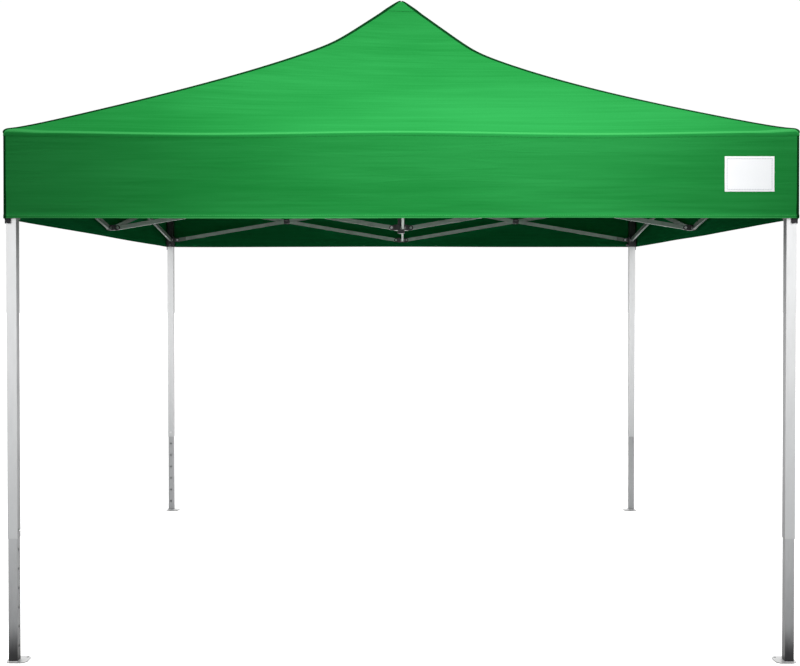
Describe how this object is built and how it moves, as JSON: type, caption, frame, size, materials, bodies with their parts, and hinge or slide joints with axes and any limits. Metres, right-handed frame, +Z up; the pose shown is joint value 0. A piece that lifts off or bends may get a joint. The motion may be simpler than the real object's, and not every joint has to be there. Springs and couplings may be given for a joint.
{
  "type": "pop up gazebo",
  "caption": "Square pop up garden gazebo with a folding scissor frame, telescopic legs on foot plates and a hipped fabric canopy with a valance.",
  "frame": {"origin": "on the floor in the middle of the four legs", "axes": "+Z up, the front faces -Y, the sides run along X and Y"},
  "size_m": [3.0588, 3.0588, 2.927],
  "materials": {
    "canopy_fabric": "matte woven polyester",
    "outer_leg": "pale powder coat",
    "lower_leg": "pale powder coat",
    "scissor_bar": "pale powder coat",
    "mast": "pale powder coat",
    "bracket": "moulded, satin",
    "hub": "moulded, satin",
    "slider_button": "moulded, satin",
    "leg_button": "bright steel"
  },
  "bodies": {
    "upper_hub": {"upper_hub": "hub", "canopy": "canopy_fabric"},
    "lower_hub": {"lower_hub": "hub", "mast": "mast"},
    "arm_high_front": {"arm_high_front": "scissor_bar"},
    "arm_low_front": {"arm_low_front": "scissor_bar"},
    "mid_upper_front": {"mid_upper_front": "bracket"},
    "mid_lower_front": {"mid_lower_front": "bracket"},
    "front_high_bar_left": {"front_high_bar_left": "scissor_bar"},
    "front_low_bar_left": {"front_low_bar_left": "scissor_bar"},
    "front_high_bar_right": {"front_high_bar_right": "scissor_bar"},
    "front_low_bar_right": {"front_low_bar_right": "scissor_bar"},
    "leg_front_left": {"leg_outer_front_left": "outer_leg", "top_bracket_front_left": "bracket"},
    "lower_leg_front_left": {"leg_lower_front_left": "lower_leg"},
    "slider_front_left": {"slider_front_left": "bracket"},
    "slider_button_front_left": {"slider_button_front_left": "slider_button"},
    "leg_button_front_left": {"leg_button_front_left": "leg_button"},
    "arm_high_right": {"arm_high_right": "scissor_bar"},
    "arm_low_right": {"arm_low_right": "scissor_bar"},
    "mid_upper_right": {"mid_upper_right": "bracket"},
    "mid_lower_right": {"mid_lower_right": "bracket"},
    "right_high_bar_left": {"right_high_bar_left": "scissor_bar"},
    "right_low_bar_left": {"right_low_bar_left": "scissor_bar"},
    "right_high_bar_right": {"right_high_bar_right": "scissor_bar"},
    "right_low_bar_right": {"right_low_bar_right": "scissor_bar"},
    "leg_front_right": {"leg_outer_front_right": "outer_leg", "top_bracket_front_right": "bracket"},
    "lower_leg_front_right": {"leg_lower_front_right": "lower_leg"},
    "slider_front_right": {"slider_front_right": "bracket"},
    "slider_button_front_right": {"slider_button_front_right": "slider_button"},
    "leg_button_front_right": {"leg_button_front_right": "leg_button"},
    "arm_high_back": {"arm_high_back": "scissor_bar"},
    "arm_low_back": {"arm_low_back": "scissor_bar"},
    "mid_upper_back": {"mid_upper_back": "bracket"},
    "mid_lower_back": {"mid_lower_back": "bracket"},
    "back_high_bar_left": {"back_high_bar_left": "scissor_bar"},
    "back_low_bar_left": {"back_low_bar_left": "scissor_bar"},
    "back_high_bar_right": {"back_high_bar_right": "scissor_bar"},
    "back_low_bar_right": {"back_low_bar_right": "scissor_bar"},
    "leg_back_right": {"leg_outer_back_right": "outer_leg", "top_bracket_back_right": "bracket"},
    "lower_leg_back_right": {"leg_lower_back_right": "lower_leg"},
    "slider_back_right": {"slider_back_right": "bracket"},
    "slider_button_back_right": {"slider_button_back_right": "slider_button"},
    "leg_button_back_right": {"leg_button_back_right": "leg_button"},
    "arm_high_left": {"arm_high_left": "scissor_bar"},
    "arm_low_left": {"arm_low_left": "scissor_bar"},
    "mid_upper_left": {"mid_upper_left": "bracket"},
    "mid_lower_left": {"mid_lower_left": "bracket"},
    "left_high_bar_left": {"left_high_bar_left": "scissor_bar"},
    "left_low_bar_left": {"left_low_bar_left": "scissor_bar"},
    "left_high_bar_right": {"left_high_bar_right": "scissor_bar"},
    "left_low_bar_right": {"left_low_bar_right": "scissor_bar"},
    "leg_back_left": {"leg_outer_back_left": "outer_leg", "top_bracket_back_left": "bracket"},
    "lower_leg_back_left": {"leg_lower_back_left": "lower_leg"},
    "slider_back_left": {"slider_back_left": "bracket"},
    "slider_button_back_left": {"slider_button_back_left": "slider_button"},
    "leg_button_back_left": {"leg_button_back_left": "leg_button"}
  },
  "joints": [
    {"name": "frame_fold", "type": "hinge", "parent": "upper_hub", "child": "arm_high_front", "pos_m": [-0.008, -0.05, 2], "axis": [1, 0, 0], "range_deg": [0, 77.41], "deforming": ["canopy"]},
    {"name": "arm_cross_turn_front", "type": "hinge", "parent": "arm_high_front", "child": "arm_low_front", "pos_m": [0, -0.76, 1.88], "axis": [-1, 0, 0], "range_deg": [0, 154.82]},
    {"name": "mid_lower_turn_front", "type": "hinge", "parent": "arm_high_front", "child": "mid_lower_front", "pos_m": [-0.008, -1.47, 1.76], "axis": [-1, 0, 0], "range_deg": [0, 77.41]},
    {"name": "mid_upper_turn_front", "type": "hinge", "parent": "arm_low_front", "child": "mid_upper_front", "pos_m": [0.008, -1.47, 2], "axis": [1, 0, 0], "range_deg": [0, 77.41]},
    {"name": "lower_hub_turn", "type": "hinge", "parent": "arm_low_front", "child": "lower_hub", "pos_m": [0.008, -0.05, 1.76], "axis": [1, 0, 0], "range_deg": [0, 77.41]},
    {"name": "front_high_turn_left", "type": "hinge", "parent": "mid_lower_front", "child": "front_high_bar_left", "pos_m": [-0.034, -1.508, 1.76], "axis": [0, 1, 0], "range_deg": [0, 77.41]},
    {"name": "front_cross_turn_left", "type": "hinge", "parent": "front_high_bar_left", "child": "front_low_bar_left", "pos_m": [-0.744, -1.5, 1.88], "axis": [0, -1, 0], "range_deg": [0, 154.82]},
    {"name": "front_high_turn_right", "type": "hinge", "parent": "mid_lower_front", "child": "front_high_bar_right", "pos_m": [0.034, -1.508, 1.76], "axis": [0, -1, 0], "range_deg": [0, 77.41]},
    {"name": "front_cross_turn_right", "type": "hinge", "parent": "front_high_bar_right", "child": "front_low_bar_right", "pos_m": [0.744, -1.5, 1.88], "axis": [0, 1, 0], "range_deg": [0, 154.82]},
    {"name": "leg_turn_front_left", "type": "hinge", "parent": "front_high_bar_left", "child": "leg_front_left", "pos_m": [-1.454, -1.508, 2], "axis": [0, -1, 0], "range_deg": [0, 77.41]},
    {"name": "slider_turn_front_left", "type": "hinge", "parent": "front_low_bar_left", "child": "slider_front_left", "pos_m": [-1.454, -1.492, 1.76], "axis": [0, 1, 0], "range_deg": [0, 77.41]},
    {"name": "leg_height_front_left", "type": "slide", "parent": "leg_front_left", "child": "lower_leg_front_left", "axis": [0, 0, 1], "range_m": [-0.15, 0.45]},
    {"name": "slider_press_front_left", "type": "slide", "parent": "slider_front_left", "child": "slider_button_front_left", "axis": [-1, 0, 0], "range_m": [0, 0.005], "stiffness_N_per_m": 400, "springref_m": -0.002},
    {"name": "leg_press_front_left", "type": "slide", "parent": "leg_front_left", "child": "leg_button_front_left", "axis": [-1, 0, 0], "range_m": [0, 0.004], "stiffness_N_per_m": 400, "springref_m": -0.002},
    {"name": "arm_high_turn_right", "type": "hinge", "parent": "upper_hub", "child": "arm_high_right", "pos_m": [0.05, -0.008, 2], "axis": [0, 1, 0], "range_deg": [0, 77.41]},
    {"name": "arm_cross_turn_right", "type": "hinge", "parent": "arm_high_right", "child": "arm_low_right", "pos_m": [0.76, 0, 1.88], "axis": [0, -1, 0], "range_deg": [0, 154.82]},
    {"name": "mid_lower_turn_right", "type": "hinge", "parent": "arm_high_right", "child": "mid_lower_right", "pos_m": [1.47, -0.008, 1.76], "axis": [0, -1, 0], "range_deg": [0, 77.41]},
    {"name": "mid_upper_turn_right", "type": "hinge", "parent": "arm_low_right", "child": "mid_upper_right", "pos_m": [1.47, 0.008, 2], "axis": [0, 1, 0], "range_deg": [0, 77.41]},
    {"name": "right_high_turn_left", "type": "hinge", "parent": "mid_lower_right", "child": "right_high_bar_left", "pos_m": [1.508, -0.034, 1.76], "axis": [-1, 0, 0], "range_deg": [0, 77.41]},
    {"name": "right_cross_turn_left", "type": "hinge", "parent": "right_high_bar_left", "child": "right_low_bar_left", "pos_m": [1.5, -0.744, 1.88], "axis": [1, 0, 0], "range_deg": [0, 154.82]},
    {"name": "right_high_turn_right", "type": "hinge", "parent": "mid_lower_right", "child": "right_high_bar_right", "pos_m": [1.508, 0.034, 1.76], "axis": [1, 0, 0], "range_deg": [0, 77.41]},
    {"name": "right_cross_turn_right", "type": "hinge", "parent": "right_high_bar_right", "child": "right_low_bar_right", "pos_m": [1.5, 0.744, 1.88], "axis": [-1, 0, 0], "range_deg": [0, 154.82]},
    {"name": "leg_turn_front_right", "type": "hinge", "parent": "right_high_bar_left", "child": "leg_front_right", "pos_m": [1.508, -1.454, 2], "axis": [1, 0, 0], "range_deg": [0, 77.41]},
    {"name": "slider_turn_front_right", "type": "hinge", "parent": "right_low_bar_left", "child": "slider_front_right", "pos_m": [1.492, -1.454, 1.76], "axis": [-1, 0, 0], "range_deg": [0, 77.41]},
    {"name": "leg_height_front_right", "type": "slide", "parent": "leg_front_right", "child": "lower_leg_front_right", "axis": [0, 0, 1], "range_m": [-0.15, 0.45]},
    {"name": "slider_press_front_right", "type": "slide", "parent": "slider_front_right", "child": "slider_button_front_right", "axis": [0, -1, 0], "range_m": [0, 0.005], "stiffness_N_per_m": 400, "springref_m": -0.002},
    {"name": "leg_press_front_right", "type": "slide", "parent": "leg_front_right", "child": "leg_button_front_right", "axis": [0, -1, 0], "range_m": [0, 0.004], "stiffness_N_per_m": 400, "springref_m": -0.002},
    {"name": "arm_high_turn_back", "type": "hinge", "parent": "upper_hub", "child": "arm_high_back", "pos_m": [0.008, 0.05, 2], "axis": [-1, 0, 0], "range_deg": [0, 77.41]},
    {"name": "arm_cross_turn_back", "type": "hinge", "parent": "arm_high_back", "child": "arm_low_back", "pos_m": [0, 0.76, 1.88], "axis": [1, 0, 0], "range_deg": [0, 154.82]},
    {"name": "mid_lower_turn_back", "type": "hinge", "parent": "arm_high_back", "child": "mid_lower_back", "pos_m": [0.008, 1.47, 1.76], "axis": [1, 0, 0], "range_deg": [0, 77.41]},
    {"name": "mid_upper_turn_back", "type": "hinge", "parent": "arm_low_back", "child": "mid_upper_back", "pos_m": [-0.008, 1.47, 2], "axis": [-1, 0, 0], "range_deg": [0, 77.41]},
    {"name": "back_high_turn_left", "type": "hinge", "parent": "mid_lower_back", "child": "back_high_bar_left", "pos_m": [0.034, 1.508, 1.76], "axis": [0, -1, 0], "range_deg": [0, 77.41]},
    {"name": "back_cross_turn_left", "type": "hinge", "parent": "back_high_bar_left", "child": "back_low_bar_left", "pos_m": [0.744, 1.5, 1.88], "axis": [0, 1, 0], "range_deg": [0, 154.82]},
    {"name": "back_high_turn_right", "type": "hinge", "parent": "mid_lower_back", "child": "back_high_bar_right", "pos_m": [-0.034, 1.508, 1.76], "axis": [0, 1, 0], "range_deg": [0, 77.41]},
    {"name": "back_cross_turn_right", "type": "hinge", "parent": "back_high_bar_right", "child": "back_low_bar_right", "pos_m": [-0.744, 1.5, 1.88], "axis": [0, -1, 0], "range_deg": [0, 154.82]},
    {"name": "leg_turn_back_right", "type": "hinge", "parent": "back_high_bar_left", "child": "leg_back_right", "pos_m": [1.454, 1.508, 2], "axis": [0, 1, 0], "range_deg": [0, 77.41]},
    {"name": "slider_turn_back_right", "type": "hinge", "parent": "back_low_bar_left", "child": "slider_back_right", "pos_m": [1.454, 1.492, 1.76], "axis": [0, -1, 0], "range_deg": [0, 77.41]},
    {"name": "leg_height_back_right", "type": "slide", "parent": "leg_back_right", "child": "lower_leg_back_right", "axis": [0, 0, 1], "range_m": [-0.15, 0.45]},
    {"name": "slider_press_back_right", "type": "slide", "parent": "slider_back_right", "child": "slider_button_back_right", "axis": [1, 0, 0], "range_m": [0, 0.005], "stiffness_N_per_m": 400, "springref_m": -0.002},
    {"name": "leg_press_back_right", "type": "slide", "parent": "leg_back_right", "child": "leg_button_back_right", "axis": [1, 0, 0], "range_m": [0, 0.004], "stiffness_N_per_m": 400, "springref_m": -0.002},
    {"name": "arm_high_turn_left", "type": "hinge", "parent": "upper_hub", "child": "arm_high_left", "pos_m": [-0.05, 0.008, 2], "axis": [0, -1, 0], "range_deg": [0, 77.41]},
    {"name": "arm_cross_turn_left", "type": "hinge", "parent": "arm_high_left", "child": "arm_low_left", "pos_m": [-0.76, 0, 1.88], "axis": [0, 1, 0], "range_deg": [0, 154.82]},
    {"name": "mid_lower_turn_left", "type": "hinge", "parent": "arm_high_left", "child": "mid_lower_left", "pos_m": [-1.47, 0.008, 1.76], "axis": [0, 1, 0], "range_deg": [0, 77.41]},
    {"name": "mid_upper_turn_left", "type": "hinge", "parent": "arm_low_left", "child": "mid_upper_left", "pos_m": [-1.47, -0.008, 2], "axis": [0, -1, 0], "range_deg": [0, 77.41]},
    {"name": "left_high_turn_left", "type": "hinge", "parent": "mid_lower_left", "child": "left_high_bar_left", "pos_m": [-1.508, 0.034, 1.76], "axis": [1, 0, 0], "range_deg": [0, 77.41]},
    {"name": "left_cross_turn_left", "type": "hinge", "parent": "left_high_bar_left", "child": "left_low_bar_left", "pos_m": [-1.5, 0.744, 1.88], "axis": [-1, 0, 0], "range_deg": [0, 154.82]},
    {"name": "left_high_turn_right", "type": "hinge", "parent": "mid_lower_left", "child": "left_high_bar_right", "pos_m": [-1.508, -0.034, 1.76], "axis": [-1, 0, 0], "range_deg": [0, 77.41]},
    {"name": "left_cross_turn_right", "type": "hinge", "parent": "left_high_bar_right", "child": "left_low_bar_right", "pos_m": [-1.5, -0.744, 1.88], "axis": [1, 0, 0], "range_deg": [0, 154.82]},
    {"name": "leg_turn_back_left", "type": "hinge", "parent": "left_high_bar_left", "child": "leg_back_left", "pos_m": [-1.508, 1.454, 2], "axis": [-1, 0, 0], "range_deg": [0, 77.41]},
    {"name": "slider_turn_back_left", "type": "hinge", "parent": "left_low_bar_left", "child": "slider_back_left", "pos_m": [-1.492, 1.454, 1.76], "axis": [1, 0, 0], "range_deg": [0, 77.41]},
    {"name": "leg_height_back_left", "type": "slide", "parent": "leg_back_left", "child": "lower_leg_back_left", "axis": [0, 0, 1], "range_m": [-0.15, 0.45]},
    {"name": "slider_press_back_left", "type": "slide", "parent": "slider_back_left", "child": "slider_button_back_left", "axis": [0, 1, 0], "range_m": [0, 0.005], "stiffness_N_per_m": 400, "springref_m": -0.002},
    {"name": "leg_press_back_left", "type": "slide", "parent": "leg_back_left", "child": "leg_button_back_left", "axis": [0, 1, 0], "range_m": [0, 0.004], "stiffness_N_per_m": 400, "springref_m": -0.002}
  ],
  "couplings": [
    {"joint": "arm_cross_turn_front", "follows": "frame_fold", "ratio": 2},
    {"joint": "mid_lower_turn_front", "follows": "frame_fold", "ratio": 1},
    {"joint": "mid_upper_turn_front", "follows": "frame_fold", "ratio": 1},
    {"joint": "lower_hub_turn", "follows": "frame_fold", "ratio": 1},
    {"joint": "front_high_turn_left", "follows": "frame_fold", "ratio": 1},
    {"joint": "front_cross_turn_left", "follows": "frame_fold", "ratio": 2},
    {"joint": "front_high_turn_right", "follows": "frame_fold", "ratio": 1},
    {"joint": "front_cross_turn_right", "follows": "frame_fold", "ratio": 2},
    {"joint": "leg_turn_front_left", "follows": "frame_fold", "ratio": 1},
    {"joint": "slider_turn_front_left", "follows": "frame_fold", "ratio": 1},
    {"joint": "arm_high_turn_right", "follows": "frame_fold", "ratio": 1},
    {"joint": "arm_cross_turn_right", "follows": "frame_fold", "ratio": 2},
    {"joint": "mid_lower_turn_right", "follows": "frame_fold", "ratio": 1},
    {"joint": "mid_upper_turn_right", "follows": "frame_fold", "ratio": 1},
    {"joint": "right_high_turn_left", "follows": "frame_fold", "ratio": 1},
    {"joint": "right_cross_turn_left", "follows": "frame_fold", "ratio": 2},
    {"joint": "right_high_turn_right", "follows": "frame_fold", "ratio": 1},
    {"joint": "right_cross_turn_right", "follows": "frame_fold", "ratio": 2},
    {"joint": "leg_turn_front_right", "follows": "frame_fold", "ratio": 1},
    {"joint": "slider_turn_front_right", "follows": "frame_fold", "ratio": 1},
    {"joint": "arm_high_turn_back", "follows": "frame_fold", "ratio": 1},
    {"joint": "arm_cross_turn_back", "follows": "frame_fold", "ratio": 2},
    {"joint": "mid_lower_turn_back", "follows": "frame_fold", "ratio": 1},
    {"joint": "mid_upper_turn_back", "follows": "frame_fold", "ratio": 1},
    {"joint": "back_high_turn_left", "follows": "frame_fold", "ratio": 1},
    {"joint": "back_cross_turn_left", "follows": "frame_fold", "ratio": 2},
    {"joint": "back_high_turn_right", "follows": "frame_fold", "ratio": 1},
    {"joint": "back_cross_turn_right", "follows": "frame_fold", "ratio": 2},
    {"joint": "leg_turn_back_right", "follows": "frame_fold", "ratio": 1},
    {"joint": "slider_turn_back_right", "follows": "frame_fold", "ratio": 1},
    {"joint": "arm_high_turn_left", "follows": "frame_fold", "ratio": 1},
    {"joint": "arm_cross_turn_left", "follows": "frame_fold", "ratio": 2},
    {"joint": "mid_lower_turn_left", "follows": "frame_fold", "ratio": 1},
    {"joint": "mid_upper_turn_left", "follows": "frame_fold", "ratio": 1},
    {"joint": "left_high_turn_left", "follows": "frame_fold", "ratio": 1},
    {"joint": "left_cross_turn_left", "follows": "frame_fold", "ratio": 2},
    {"joint": "left_high_turn_right", "follows": "frame_fold", "ratio": 1},
    {"joint": "left_cross_turn_right", "follows": "frame_fold", "ratio": 2},
    {"joint": "leg_turn_back_left", "follows": "frame_fold", "ratio": 1},
    {"joint": "slider_turn_back_left", "follows": "frame_fold", "ratio": 1}
  ]
}
